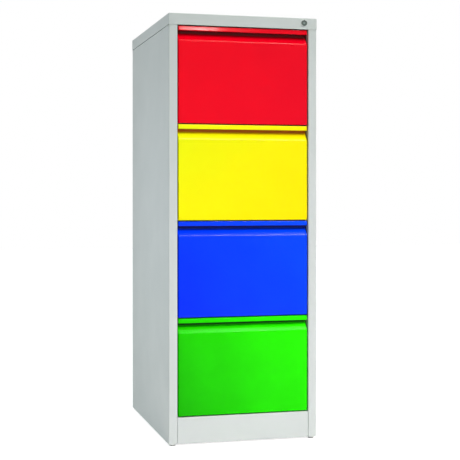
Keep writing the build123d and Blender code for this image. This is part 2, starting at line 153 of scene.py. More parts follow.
def powder_coat(name, thick_or_lit, thin_or_shaded, roughness, specular, front=None, shading_sweep=(0, 0, 0), painted_shade=None):
    """Baked powder paint on sheet steel: flat colour, soft gloss, orange peel in the highlights.

    A front's colour also gets painted shading, lighter towards one end of a sweep. Inside its
    finger-pull a darker colour, painted shade under the lip, gives way to the whole coat between
    two distances in mm below the top of the front."""
    material, tree, place = new_material(name)
    patches = add_node(tree, "ShaderNodeTexNoise", {"Vector": place, "Scale": 1 / PATCH, "Detail": 4.0})
    amount = patches.outputs["Fac"]
    if front:
        low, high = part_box(front)
        middle = (low + high).dot(Vector(shading_sweep)) / 2
        reach = (high - low).dot(Vector([abs(part) for part in shading_sweep])) / 2
        along = add_node(tree, "ShaderNodeVectorMath", {0: place, 1: shading_sweep}, operation="DOT_PRODUCT")
        # Painted shading: the front's colour gets lighter towards one end of the sweep.
        painted_shading = add_node(
            tree,
            "ShaderNodeMapRange",
            {"Value": along.outputs["Value"], "From Min": middle - reach, "From Max": middle + reach,
             "To Min": SHADING_RANGE[0], "To Max": SHADING_RANGE[1]},
        )
        amount = add_node(
            tree,
            "ShaderNodeMath",
            {0: amount, 1: PATCH_SHARE, 2: painted_shading.outputs["Result"]},
            operation="MULTIPLY_ADD",
        ).outputs[0]
    coat = add_node(
        tree, "ShaderNodeMix", {0: amount, 6: linear(thin_or_shaded), 7: linear(thick_or_lit)}, data_type="RGBA"
    ).outputs[2]
    # Painted shade: inside the finger-pull the colour is painted darker, standing in for the shade under the lip.
    if painted_shade:
        shade_colour, full_shade_to, no_shade_from = painted_shade
        spot = add_node(tree, "ShaderNodeSeparateXYZ", {"Vector": place})
        deep = add_node(
            tree,
            "ShaderNodeMath",
            {0: spot.outputs["Y"], 1: low.y + PULL_DEPTH},
            operation="GREATER_THAN",
        )
        under_lip = add_node(
            tree,
            "ShaderNodeMapRange",
            {"Value": spot.outputs["Z"], "From Min": high.z - no_shade_from * MM,
             "From Max": high.z - full_shade_to * MM, "To Max": deep.outputs[0]},
            interpolation_type="SMOOTHSTEP",
        )
        facing = add_node(tree, "ShaderNodeNewGeometry").outputs["Normal"]
        upwards = add_node(tree, "ShaderNodeSeparateXYZ", {"Vector": facing}).outputs["Z"]
        painted_shade_mask = add_node(
            tree,
            "ShaderNodeMapRange",
            {"Value": upwards, "From Min": UNSHADED_NORMAL_Z, "From Max": SHADED_NORMAL_Z,
             "To Max": under_lip.outputs["Result"]},
        )
        coat = add_node(
            tree,
            "ShaderNodeMix",
            {0: painted_shade_mask.outputs["Result"], 6: coat, 7: linear(shade_colour)},
            data_type="RGBA",
        ).outputs[2]
    gloss = add_node(
        tree,
        "ShaderNodeMapRange",
        {"Value": patches.outputs["Fac"], "From Min": 0.3, "From Max": 0.7,
         "To Min": roughness + PATCH_GLOSS, "To Max": roughness - PATCH_GLOSS},
    )
    waves = add_node(tree, "ShaderNodeTexNoise", {"Vector": place, "Scale": 1 / RIPPLE, "Detail": 1.0})
    sheet = add_node(tree, "ShaderNodeBump", {"Height": waves.outputs["Fac"], "Distance": RIPPLE_HEIGHT})
    crests = add_node(tree, "ShaderNodeTexNoise", {"Vector": place, "Scale": 1 / PEEL, "Detail": 1.5})
    skin = add_node(
        tree,
        "ShaderNodeBump",
        {"Height": crests.outputs["Fac"], "Distance": PEEL_HEIGHT, "Normal": sheet.outputs["Normal"]},
    )
    finish_material(
        tree,
        Base_Color=coat,
        Roughness=gloss.outputs["Result"],
        Specular_IOR_Level=specular,
        Normal=skin.outputs["Normal"],
    )
    return material


FRONT_GLOSS = 0.13        # roughness of the four glossy fronts
finishes = {
    "carcass_paint": powder_coat("light_grey_powder_coat", "cbd3d2", "c7cfce", 0.36, 0.3),
    # A dark grey for the cross rails: painted shade in the gaps between the drawers.
    "gap_shade_paint": powder_coat("dark_grey_gap_shade", "565d5b", "3d4341", 0.5, 0.2),
    # Each front gets painted shading along its sweep, and a dark painted shade colour inside its finger-pull
    # between two distances in mm below its top.
    "red_paint": powder_coat(
        "red_powder_coat", "ff001e", "ec0022", FRONT_GLOSS, 0.1,
        front="drawer_1_front", shading_sweep=(-1, 0, 1), painted_shade=("680006", 20.5, 33),
    ),
    "yellow_paint": powder_coat(
        "yellow_powder_coat", "f4fe0a", "ffe600", FRONT_GLOSS, 0.1,
        front="drawer_2_front", shading_sweep=(-1, 0, 1), painted_shade=("b66400", 19.5, 30.5),
    ),
    "blue_paint": powder_coat(
        "blue_powder_coat", "0048ff", "002efc", FRONT_GLOSS, 0.1,
        front="drawer_3_front", shading_sweep=(1, 0, 1), painted_shade=("001474", 18.5, 29.5),
    ),
    "green_paint": powder_coat(
        "green_powder_coat", "28fc00", "18b400", FRONT_GLOSS, 0.05,
        front="drawer_4_front", shading_sweep=(1, 0, 0.8), painted_shade=("044200", 18, 27),
    ),
}
print("paints:", sorted(finishes))

# %% [markdown]
# ## Zinc plate, nickel, rubber and nylon
#
# The slides, the lock bar and the catches are cold-rolled steel with a bright zinc plate: a
# blue-grey metal with fine lines along the rolling direction and faint straw-coloured clouds from
# the passivating bath. The lock is a zinc casting with dull nickel on it, turned on a lathe, so
# its lines run in rings. The nickel is painted darker in a ring round the plug, as painted shade
# in the crevice and on the step of the bezel, while its middle and its flange keep a lighter tone.
# Rubber and nylon are moulded and matt, with the fine grain of the mould: the buttons black, the
# feet and the guides of the lock bar pale grey.

# %% Zinc plate
ROLLING_LINE = 1.2 * MM   # real lines are finer, and are drawn this coarse so that they show
LINE_HEIGHT = 0.01 * MM
LINE_STRETCH = 0.02       # across to along
ZINC_GLOSS = (0.22, 0.46)
CLOUD = 35.0 * MM


def zinc_plate():
    """Bright zinc on rolled steel: lines along the slide, and pale clouds of blue and straw."""
    material, tree, place = new_material("bright_zinc_plate")
    clouds = add_node(tree, "ShaderNodeTexNoise", {"Vector": place, "Scale": 1 / CLOUD, "Detail": 3.0})
    tint = add_node(
        tree,
        "ShaderNodeMix",
        {0: clouds.outputs["Fac"], 6: linear("9ba5ac"), 7: linear("b4b1a5")},
        data_type="RGBA",
    )
    stretch = Vector((1, LINE_STRETCH, 1)) / ROLLING_LINE
    along = add_node(tree, "ShaderNodeMapping", {"Vector": place, "Scale": stretch})
    lines = add_node(
        tree, "ShaderNodeTexNoise", {"Vector": along.outputs["Vector"], "Scale": 1.0, "Detail": 2.0}
    )
    polish = add_node(
        tree,
        "ShaderNodeMapRange",
        {"Value": lines.outputs["Fac"], "To Min": ZINC_GLOSS[0], "To Max": ZINC_GLOSS[1]},
    )
    grain = add_node(tree, "ShaderNodeBump", {"Height": lines.outputs["Fac"], "Distance": LINE_HEIGHT})
    finish_material(
        tree,
        Base_Color=tint.outputs[2],
        Metallic=1.0,
        Roughness=polish.outputs["Result"],
        Normal=grain.outputs["Normal"],
    )
    return material


finishes["zinc_steel"] = zinc_plate()
print("zinc plate:", len(finishes["zinc_steel"].node_tree.nodes), "nodes")

# %% Nickel on the lock
RING = 3.14 * MM          # real lathe lines are finer, and are drawn this coarse so that they show
RING_HEIGHT = 0.01 * MM
WAVE_LENGTH = pi / 10     # a Wave texture of scale 1 repeats at this distance
NICKEL_GLOSS = (0.22, 0.34)
RING_SHADE = 0.85
RING_SHADE_STARTS = 3.8 * MM    # radius where the painted shade of the ring begins
RING_SHADE_ENDS = 5.2 * MM      # radius where the painted shade is complete
FLANGE_STARTS = 8.3 * MM  # radius where the thin flange begins, which has a lighter tone
FLANGE_ENDS = 9.5 * MM    # radius where no painted shade is left
lock_axis = Vector(next(joint["pos_m"] for joint in frame["joints"] if joint["name"] == "key_turn"))


def turned_nickel():
    """Dull nickel with rings left by the lathe, centred on the lock."""
    material, tree, place = new_material("turned_dull_nickel")
    centred = add_node(tree, "ShaderNodeMapping", {"Vector": place, "Location": -lock_axis})
    rings = add_node(
        tree,
        "ShaderNodeTexWave",
        {"Vector": centred.outputs["Vector"], "Scale": WAVE_LENGTH / RING, "Distortion": 0.6},
        wave_type="RINGS",
        rings_direction="Y",
    )
    tone = add_node(
        tree,
        "ShaderNodeMix",
        {0: rings.outputs["Fac"], 6: linear("6e7b76"), 7: linear("87948e")},
        data_type="RGBA",
    )
    flat = add_node(
        tree,
        "ShaderNodeVectorMath",
        {0: centred.outputs["Vector"], 1: (1, 0, 1)},
        operation="MULTIPLY",
    )
    radius = add_node(tree, "ShaderNodeVectorMath", {0: flat.outputs["Vector"]}, operation="LENGTH")
    # Painted shade: the nickel is darker in a ring round the plug, over the crevice and the step of the bezel.
    rim = add_node(
        tree,
        "ShaderNodeMapRange",
        {"Value": radius.outputs["Value"], "From Min": RING_SHADE_STARTS, "From Max": RING_SHADE_ENDS,
         "To Max": RING_SHADE},
        interpolation_type="SMOOTHSTEP",
    )
    tone = add_node(
        tree,
        "ShaderNodeMix",
        {0: rim.outputs["Result"], 6: tone.outputs[2], 7: linear("333d39")},
        data_type="RGBA",
    )
    flange = add_node(
        tree,
        "ShaderNodeMapRange",
        {"Value": radius.outputs["Value"], "From Min": FLANGE_STARTS, "From Max": FLANGE_ENDS},
        interpolation_type="SMOOTHSTEP",
    )
    tone = add_node(
        tree,
        "ShaderNodeMix",
        {0: flange.outputs["Result"], 6: tone.outputs[2], 7: linear("b6bcb9")},
        data_type="RGBA",
    )
    polish = add_node(
        tree,
        "ShaderNodeMapRange",
        {"Value": rings.outputs["Fac"], "To Min": NICKEL_GLOSS[0], "To Max": NICKEL_GLOSS[1]},
    )
    grooves = add_node(tree, "ShaderNodeBump", {"Height": rings.outputs["Fac"], "Distance": RING_HEIGHT})
    finish_material(
        tree,
        Base_Color=tone.outputs[2],
        Metallic=1.0,
        Roughness=polish.outputs["Result"],
        Normal=grooves.outputs["Normal"],
    )
    return material


finishes["lock_metal"] = turned_nickel()
print("rings round, in mm:", [round(v / MM, 1) for v in lock_axis])

# %% Rubber and nylon
GRAIN_HEIGHT = 0.04 * MM


def moulded(name, colour, worn_colour, roughness, grain_size):
    """Moulded rubber or plastic with the grain of its mould."""
    material, tree, place = new_material(name)
    grain = add_node(tree, "ShaderNodeTexNoise", {"Vector": place, "Scale": 1 / grain_size, "Detail": 2.0})
    tone = add_node(
        tree,
        "ShaderNodeMix",
        {0: grain.outputs["Fac"], 6: linear(colour), 7: linear(worn_colour)},
        data_type="RGBA",
    )
    texture = add_node(tree, "ShaderNodeBump", {"Height": grain.outputs["Fac"], "Distance": GRAIN_HEIGHT})
    finish_material(
        tree, Base_Color=tone.outputs[2], Roughness=roughness, Normal=texture.outputs["Normal"]
    )
    return material


finishes["rubber"] = moulded("black_rubber", "161616", "262625", 0.75, 0.8 * MM)
finishes["nylon"] = moulded("grey_nylon", "ccd0ce", "d8dbd9", 0.5, 0.6 * MM)
print("finishes:", sorted(finishes))

# %% [markdown]
# ## A finish for every solid
#
# The record names a finish for each solid, so one loop paints them all. The cross rails are the
# exception. They sit behind the gaps between the drawers, and a dark grey on them is painted
# shade that keeps those gaps as deep as they look on the real cabinet.

# %% Finish every solid
for part in record["subparts"]:
    mesh = nodes[part["node"]].data
    mesh.materials.clear()
    mesh.materials.append(finishes[part["material_slot"]])
# The cross rails get the dark grey, painted shade for the gaps in front of them.
rails = nodes["cross_rails"].data
rails.materials[0] = finishes["gap_shade_paint"]
print("finished solids:", len(record["subparts"]), "in", len(finishes), "materials")

# %% [markdown]
# ## Drawer fronts
#
# A real front is one sheet of 0.8 mm steel. A press folds it round the lip, under it into the
# finger-pull, out again over a slope and down the face, and the ends are turned back. The same
# order works here: a flat strip is the top edge, and its leading edge is extruded once for each
# run of the sheet. Bevels then round the folds, each with its own radius. Modelling one front and
# copying it keeps all four alike.

# %% Helpers for modelling
NEAR = 0.01 * MM


def choose(piece):
    """Make a piece the only selected object, and the active one."""
    bpy.ops.object.select_all(action="DESELECT")
    piece.select_set(True)
    bpy.context.view_layer.objects.active = piece


def settle():
    """Put the place, turn and scale of the selected object into its mesh."""
    bpy.ops.object.transform_apply(location=True, rotation=True, scale=True)


def open_piece(piece):
    """Open a piece in edit mode, with nothing else selected."""
    choose(piece)
    bpy.ops.object.mode_set(mode="EDIT")


def pick(piece, kind, wanted):
    """In edit mode, select exactly the edges or faces that answer to wanted, and count them."""
    bpy.ops.mesh.select_mode(type=kind)
    bpy.ops.mesh.select_all(action="DESELECT")
    mesh = bmesh.from_edit_mesh(piece.data)
    chosen = [item for item in (mesh.edges if kind == "EDGE" else mesh.faces) if wanted(item)]
    for item in chosen:
        item.select_set(True)
    bmesh.update_edit_mesh(piece.data)
    return len(chosen)


def lies_at(edge, axis, place):
    """Whether both ends of an edge have the given coordinate."""
    return all(abs(vertex.co[axis] - place) < NEAR for vertex in edge.verts)


def round_off(size, segments):
    """Bevel the selected edges into a round of that size."""
    bpy.ops.mesh.bevel(
        offset_type="OFFSET", offset=size, segments=segments, profile=0.5, affect="EDGES"
    )


def fold(piece, corner, before, runs, axes):
    """Extrude the selected edge along every run of a sheet, then round the fold before each run."""
    for run, _ in runs:
        bpy.ops.mesh.extrude_region_move(TRANSFORM_OT_translate={"value": run})
    for run, radius in runs:
        pick(piece, "EDGE", lambda edge: all(lies_at(edge, axis, corner[axis]) for axis in axes))
        round_off(radius * tan(before.angle(run) / 2), 6)
        corner, before = corner + run, run


def close_piece():
    """Turn all faces outwards and leave edit mode."""
    bpy.ops.mesh.select_all(action="SELECT")
    bpy.ops.mesh.normals_make_consistent(inside=False)
    bpy.ops.object.mode_set(mode="OBJECT")


# %% Sizes of a front
front_low, front_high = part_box("drawer_1_front")
FRONT_SHEET = 0.8 * MM
LIP_HEIGHT = 14.0 * MM
RECESS_DEPTH = 17.0 * MM
RECESS_WALL = 9.0 * MM
RECESS_HEIGHT = 29.5 * MM
LIP_LEAN = 1.4 * MM
END_RADIUS = 1.2 * MM
END_TRIM = 0.6 * MM
front_ends = (front_low.x + END_TRIM, front_high.x - END_TRIM)
front_depth = front_high.y - front_low.y
face_height = front_high.z - front_low.z - LIP_HEIGHT - RECESS_HEIGHT
folds = [  # each run of the sheet, and the outside radius of the fold before it
    (Vector((0, -LIP_LEAN, -LIP_HEIGHT)), 2.4 * MM),
    (Vector((0, RECESS_DEPTH, 0)), 1.6 * MM),
    (Vector((0, 0, -RECESS_WALL)), 0.8 * MM),
    (Vector((0, -RECESS_DEPTH, RECESS_WALL - RECESS_HEIGHT)), 2.0 * MM),
    (Vector((0, 0, -face_height)), 7.0 * MM),
    (Vector((0, front_depth, 0)), 1.6 * MM),
]
print("front in mm:", [round(v / MM, 2) for v in front_high - front_low])

# %% Fold the sheet
bpy.ops.object.select_all(action="DESELECT")
top_edge = front_low.y + LIP_LEAN
bpy.ops.mesh.primitive_plane_add(size=1, location=(0, (top_edge + front_high.y) / 2, front_high.z))
front = bpy.context.object
bpy.ops.transform.resize(value=(front_ends[1] - front_ends[0], front_high.y - top_edge, 1))
settle()
open_piece(front)
pick(front, "EDGE", lambda edge: lies_at(edge, 1, top_edge))
fold(front, Vector((0, top_edge, front_high.z)), Vector((0, -front_depth, 0)), folds, (1, 2))
print("folds:", len(folds), "faces:", len(bmesh.from_edit_mesh(front.data).faces))

# %% Close and round the ends
def close_ends(piece, ends, rear):
    """Close both ends of a folded strip, and round them except along its open rear."""
    for end in ends:
        pick(piece, "EDGE", lambda edge: lies_at(edge, 0, end))
        bpy.ops.mesh.edge_face_add()
        pick(piece, "EDGE", lambda edge: lies_at(edge, 0, end) and not lies_at(edge, 1, rear))
        round_off(END_RADIUS, 4)
    close_piece()


close_ends(front, front_ends, front_high.y)
print("faces with closed ends:", len(front.data.polygons))

# %% [markdown]
# The folded shape is still a skin without thickness. Solidify gives it the sheet's 0.8 mm on the
# inside, and weighted normals keep the broad faces flat while the folds shade as smooth rounds.

# %% Give the sheet its thickness
def apply_modifier(piece, kind, **settings):
    """Add a modifier to a piece, set it and apply it."""
    choose(piece)
    bpy.ops.object.modifier_add(type=kind)
    modifier = piece.modifiers[-1]
    for name, value in settings.items():
        setattr(modifier, name, value)
    bpy.ops.object.modifier_apply(modifier=modifier.name)


def shade(piece, angle=35):
    """Smooth shading across folds up to an angle in degrees, with broad faces kept flat."""
    choose(piece)
    bpy.ops.object.shade_smooth_by_angle(angle=radians(angle))
    apply_modifier(piece, "WEIGHTED_NORMAL", keep_sharp=True)


apply_modifier(front, "SOLIDIFY", thickness=FRONT_SHEET, offset=-1.0, use_even_offset=True)
shade(front)
print("front faces:", len(front.data.polygons))

# %% Copy the front to every drawer
def copy_piece(piece, name, move):
    """A copy with its own mesh, moved, with its place kept in the mesh."""
    choose(piece)
    bpy.ops.object.duplicate(linked=False)
    copy = bpy.context.object
    copy.name = copy.data.name = name
    bpy.ops.transform.translate(value=move)
    settle()
    return copy


def dress(piece, body, slot, *stands_for):
    """Give a piece its finish, the body that it moves with, and the solids that it stands for."""
    piece.data.materials.clear()
    piece.data.materials.append(finishes[slot])
    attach(piece, body)
    if stands_for:
        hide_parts(*stands_for)


drawers = ["drawer_1", "drawer_2", "drawer_3", "drawer_4"]
front_paint = dict(zip(drawers, ["red_paint", "yellow_paint", "blue_paint", "green_paint"]))
BOTTOM_FOLD = 20.0 * MM   # foot of the face, which moves as one where a front is longer or shorter
shells = {}
for drawer in drawers:
    low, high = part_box(drawer + "_front")
    shells[drawer] = copy_piece(front, drawer + "_front_shell", (0, 0, high.z - front_high.z))
    excess = front_high.z - front_low.z - (high.z - low.z)
    if abs(excess) > NEAR:
        open_piece(shells[drawer])
        fold_top = low.z - excess + BOTTOM_FOLD
        pick(shells[drawer], "FACE", lambda face: all(vertex.co.z < fold_top for vertex in face.verts))
        bpy.ops.transform.translate(value=(0, 0, excess))
        bpy.ops.object.mode_set(mode="OBJECT")
    print(drawer, "front top and bottom in mm:", round(high.z / MM, 2), round(low.z / MM, 2))
bpy.data.objects.remove(front)
for drawer, shell in shells.items():
    dress(shell, drawer, front_paint[drawer], drawer + "_front")

# %% [markdown]
# ## Top cap
#
# The lid is a shallow tray pressed from 1 mm sheet and dropped over the side panels. Its folds
# are rounder than those of the panels, and along the front they draw a fine line at the very top
# of the cabinet. A hem along its lower edge reaches a little further down than the solid does. A
# cube without its bottom face gives the shape, two bevels give the folds, and a Boolean cuts the
# hole for the lock, which is quicker than building a ring of faces round it.

# %% Press the cap
cap_low, cap_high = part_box("top_cap")
CAP_SHEET = 1.0 * MM
CAP_CORNER = 1.8 * MM
CAP_FOLD = 1.4 * MM
CAP_HEM = 1.3 * MM
cap_edge = cap_low.z - CAP_HEM
cap_start = Vector((cap_low.x, cap_low.y, cap_edge))
bpy.ops.object.select_all(action="DESELECT")
bpy.ops.mesh.primitive_cube_add(size=1, location=(cap_start + cap_high) / 2)
cap = bpy.context.object
cap.name = cap.data.name = "top_cap_shell"
bpy.ops.transform.resize(value=cap_high - cap_start)
settle()
open_piece(cap)
pick(cap, "FACE", lambda face: face.normal.z < -0.9)
bpy.ops.mesh.delete(type="FACE")
pick(cap, "EDGE", lambda edge: abs(edge.verts[0].co.z - edge.verts[1].co.z) > NEAR)
round_off(CAP_CORNER, 5)
pick(cap, "EDGE", lambda edge: lies_at(edge, 2, cap_high.z))
round_off(CAP_FOLD, 5)
close_piece()
apply_modifier(cap, "SOLIDIFY", thickness=CAP_SHEET, offset=-1.0, use_even_offset=True)
print("cap in mm:", [round(v / MM, 1) for v in cap_high - cap_start])

# %% Cut the lock's hole
LOCK_HOLE = 16.2 * MM
DRILL_DEPTH = 8.0 * MM
bpy.ops.object.select_all(action="DESELECT")
bpy.ops.mesh.primitive_cylinder_add(
    vertices=48, radius=LOCK_HOLE / 2, depth=DRILL_DEPTH,
    location=(lock_axis.x, cap_low.y, lock_axis.z), rotation=(pi / 2, 0, 0),
)
drill = bpy.context.object
apply_modifier(cap, "BOOLEAN", object=drill, operation="DIFFERENCE", solver="EXACT")
bpy.data.objects.remove(drill)
shade(cap)
dress(cap, "carcass", "carcass_paint", "top_cap")
print("cap faces:", len(cap.data.polygons))

# %% [markdown]
# ## Side panels
#
# Each side is one tall sheet. It turns in at the back as a flange, runs forward as the side, and
# folds twice at the front, first into the stile and then back into the opening. The cap sits over
# it loosely: a slot stays open under its long edges and reads as a dark line, and a much finer
# seam crosses the stiles. The left sheet is folded by extruding the edge of its flange, and the
# bends are wider than those of the solid, which lets them catch the light.

# %% Fold the left side
panel_low, panel_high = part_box("side_panel_left")
PANEL_SHEET = 0.8 * MM
REAR_FLANGE = 18.0 * MM
STILE_RETURN = 20.0 * MM
STILE_BEND = 1.4 * MM
CAP_SLOT = 1.5 * MM
STILE_SEAM = 0.45 * MM
bends = [  # each run of the sheet, and the outside radius of the bend before it
    (Vector((0, panel_low.y - panel_high.y, 0)), 1.6 * MM),
    (Vector((panel_high.x - panel_low.x, 0, 0)), 2.0 * MM),
    (Vector((0, STILE_RETURN, 0)), STILE_BEND),
]
flange_middle = Vector((panel_low.x + REAR_FLANGE / 2, panel_high.y, (panel_low.z + panel_high.z) / 2))
bpy.ops.object.select_all(action="DESELECT")
bpy.ops.mesh.primitive_plane_add(size=1, location=flange_middle, rotation=(pi / 2, 0, 0))
left_side = bpy.context.object
bpy.ops.transform.resize(value=(REAR_FLANGE, 1, panel_high.z - panel_low.z))
settle()
open_piece(left_side)
pick(left_side, "EDGE", lambda edge: lies_at(edge, 0, panel_low.x))
fold(left_side, Vector((panel_low.x, panel_high.y, 0)), Vector((-REAR_FLANGE, 0, 0)), bends, (0, 1))
print("bends:", len(bends), "faces:", len(bmesh.from_edit_mesh(left_side.data).faces))

# %% Open the slot under the cap and the seam over the stile
def under_cap(face):
    """Whether a face lies in the slot of the side, or in the finer seam round the stile."""
    middle = face.calc_center_median()
    below = cap_edge - middle.z
    on_side = middle.x < panel_low.x + NEAR and below < CAP_SLOT
    on_stile = middle.y < panel_low.y + STILE_BEND and below < STILE_SEAM
    return below > 0 and (on_side or on_stile)


for height in (cap_edge - CAP_SLOT, cap_edge - STILE_SEAM, cap_edge):
    bpy.ops.mesh.select_all(action="SELECT")
    bpy.ops.mesh.bisect(plane_co=(0, 0, height), plane_no=(0, 0, 1))
cut_out = pick(left_side, "FACE", under_cap)
bpy.ops.mesh.delete(type="FACE")
close_piece()
print("faces cut out under the cap:", cut_out)

# %% Mirror the sheet and give both sides their thickness
def print_box(piece):
    """Print the lowest and the highest corner of a piece."""
    corners = (*piece.bound_box[0], *piece.bound_box[6])
    print(piece.name, "in mm:", [round(v / MM, 1) for v in corners])


right_side = copy_piece(left_side, "side_panel_right_shell", (0, 0, 0))
bpy.ops.transform.resize(value=(-1, 1, 1), center_override=(0, 0, 0))
settle()
open_piece(right_side)
close_piece()
left_side.name = left_side.data.name = "side_panel_left_shell"
for sheet, solid in ((left_side, "side_panel_left"), (right_side, "side_panel_right")):
    apply_modifier(sheet, "SOLIDIFY", thickness=PANEL_SHEET, offset=-1.0, use_even_offset=True)
    shade(sheet)
    dress(sheet, "carcass", "carcass_paint", solid)
    print_box(sheet)

# %% [markdown]
# ## Plinth
#
# The plinth is a shallow tray on its edge, spot-welded between the stiles through its turned-back
# ends. A narrow seam stays open on either side of it. It is folded like a drawer front, a little
# shorter than the opening, and its ends are closed and rounded.

# %% Plinth
plinth_low, plinth_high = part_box("plinth")
PLINTH_SEAM = 0.8 * MM
plinth_depth = plinth_high.y - plinth_low.y
plinth_ends = (plinth_low.x + PLINTH_SEAM, plinth_high.x - PLINTH_SEAM)
plinth_runs = [
    (Vector((0, 0, plinth_low.z - plinth_high.z)), 1.6 * MM),
    (Vector((0, plinth_depth, 0)), 1.6 * MM),
]
bpy.ops.object.select_all(action="DESELECT")
bpy.ops.mesh.primitive_plane_add(size=1, location=(0, (plinth_low.y + plinth_high.y) / 2, plinth_high.z))
plinth = bpy.context.object
plinth.name = plinth.data.name = "plinth_shell"
bpy.ops.transform.resize(value=(plinth_ends[1] - plinth_ends[0], plinth_depth, 1))
settle()
open_piece(plinth)
pick(plinth, "EDGE", lambda edge: lies_at(edge, 1, plinth_low.y))
fold(plinth, Vector((0, plinth_low.y, plinth_high.z)), Vector((0, -plinth_depth, 0)), plinth_runs, (1, 2))
close_ends(plinth, plinth_ends, plinth_high.y)
apply_modifier(plinth, "SOLIDIFY", thickness=PANEL_SHEET, offset=-1.0, use_even_offset=True)
shade(plinth)
dress(plinth, "carcass", "carcass_paint", "plinth")
print("plinth faces:", len(plinth.data.polygons))

# %% [markdown]
# ## Lock face
#
# All that shows of the lock is a nickel disc, 20 mm across, with the turning plug in its middle.
# A rolled bezel covers the disc's edge and steps down to the plug. Both start as cylinders along
# Y: insets and extrusions step the bezel, and a Boolean cuts the keyway through the face of the
# plug.

# %% Bezel round the lock
disc_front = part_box("lock_housing")[0].y
BEZEL_RADIUS = 10.3 * MM
BEZEL_PROUD = 0.5 * MM
BEZEL_ROLL = 1.0 * MM
BEZEL_RIM = 2.9 * MM
BEZEL_STEP = 1.2 * MM
BEZEL_DROP = 0.45 * MM
bezel_front = disc_front - BEZEL_PROUD
bezel_depth = cap_low.y - bezel_front
bpy.ops.object.select_all(action="DESELECT")
bpy.ops.mesh.primitive_cylinder_add(
    vertices=48, radius=BEZEL_RADIUS, depth=bezel_depth,
    location=(lock_axis.x, bezel_front + bezel_depth / 2, lock_axis.z), rotation=(pi / 2, 0, 0),
)
bezel = bpy.context.object
bezel.name = bezel.data.name = "lock_bezel"
settle()
open_piece(bezel)
pick(bezel, "FACE", lambda face: face.normal.y > 0.9)
bpy.ops.mesh.delete(type="FACE")
pick(bezel, "FACE", lambda face: face.normal.y < -0.9)
bpy.ops.mesh.inset(thickness=BEZEL_RIM)
bpy.ops.mesh.extrude_region_move(TRANSFORM_OT_translate={"value": (0, BEZEL_DROP, 0)})
bpy.ops.mesh.inset(thickness=BEZEL_STEP)
bpy.ops.mesh.delete(type="FACE")
pick(
    bezel, "EDGE",
    lambda edge: lies_at(edge, 1, bezel_front)
    and all((v.co - lock_axis).xz.length > BEZEL_RADIUS - NEAR for v in edge.verts),
)
round_off(BEZEL_ROLL, 4)
close_piece()
shade(bezel)
dress(bezel, "carcass", "lock_metal")
print("bezel faces:", len(bezel.data.polygons))

# %% Face of the plug
PLUG_RADIUS = 5.4 * MM
PLUG_PROUD = 0.45 * MM
PLUG_EDGE = 0.3 * MM
KEYWAY = Vector((1.6, 4.0, 7.5)) * MM
bpy.ops.object.select_all(action="DESELECT")
bpy.ops.mesh.primitive_cylinder_add(
    vertices=40, radius=PLUG_RADIUS, depth=PLUG_PROUD,
    location=(lock_axis.x, disc_front - PLUG_PROUD / 2, lock_axis.z), rotation=(pi / 2, 0, 0),
)
plug_face = bpy.context.object
plug_face.name = plug_face.data.name = "lock_plug_face"
settle()
open_piece(plug_face)
pick(plug_face, "EDGE", lambda edge: lies_at(edge, 1, disc_front - PLUG_PROUD))
round_off(PLUG_EDGE, 3)
close_piece()
bpy.ops.object.select_all(action="DESELECT")
bpy.ops.mesh.primitive_cube_add(size=1, location=(lock_axis.x, disc_front, lock_axis.z), scale=KEYWAY)
cutter = bpy.context.object
apply_modifier(plug_face, "BOOLEAN", object=cutter, operation="DIFFERENCE", solver="EXACT")
bpy.data.objects.remove(cutter)
shade(plug_face)
dress(plug_face, "lock_plug", "lock_metal")
print("plug faces:", len(plug_face.data.polygons))

# %% [markdown]
# ## Rubber buttons behind the fronts
#
# A closing drawer lands on two rubber buttons on the cross rail. The solid stand-ins are square,
# and the real buttons are small domes, so one is turned from a cylinder and copied to each place.

# %% Buttons
pad_low, pad_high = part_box("bump_stops")
BUTTON_RADIUS = 4.5 * MM
BUTTON_DOME = 0.6         # share of the button that is rounded
button_depth = pad_high.y - pad_low.y
front_gap = front_low.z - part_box("drawer_2_front")[1].z
bpy.ops.object.select_all(action="DESELECT")
bpy.ops.mesh.primitive_cylinder_add(
    vertices=24, radius=BUTTON_RADIUS, depth=button_depth,
    location=(0, (pad_low.y + pad_high.y) / 2, 0), rotation=(pi / 2, 0, 0),
)
button = bpy.context.object
settle()
open_piece(button)
pick(button, "EDGE", lambda edge: lies_at(edge, 1, pad_low.y))
round_off(BUTTON_DOME * button_depth, 4)
close_piece()
shade(button, 50)


def join_pieces(pieces, name):
    """Several copies as one piece."""
    bpy.ops.object.select_all(action="DESELECT")
    for piece in pieces:
        piece.select_set(True)
    bpy.context.view_layer.objects.active = pieces[0]
    bpy.ops.object.join()
    pieces[0].name = pieces[0].data.name = name
    return pieces[0]


copies = []
for drawer in drawers:
    rail_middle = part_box(drawer + "_front")[0].z - front_gap / 2
    for x in (pad_low.x + BUTTON_RADIUS, pad_high.x - BUTTON_RADIUS):
        copies.append(copy_piece(button, "button", (x, 0, rail_middle + BUTTON_RADIUS)))
print("rubber buttons:", len(copies))
bpy.data.objects.remove(button)
dress(join_pieces(copies, "rubber_buttons"), "carcass", "rubber", "bump_stops")

# %% [markdown]
# ## Spot welds on the back
#
# The back panel lies inside the rear flanges and is spot-welded to them. Each weld leaves a round
# dent with a low rim, less than a centimetre across, which still shows through the paint. A bump
# in the material would vanish from the side, so one mark is modelled as a thin disc, its face
# inset and pushed in, and copied up both flanges.

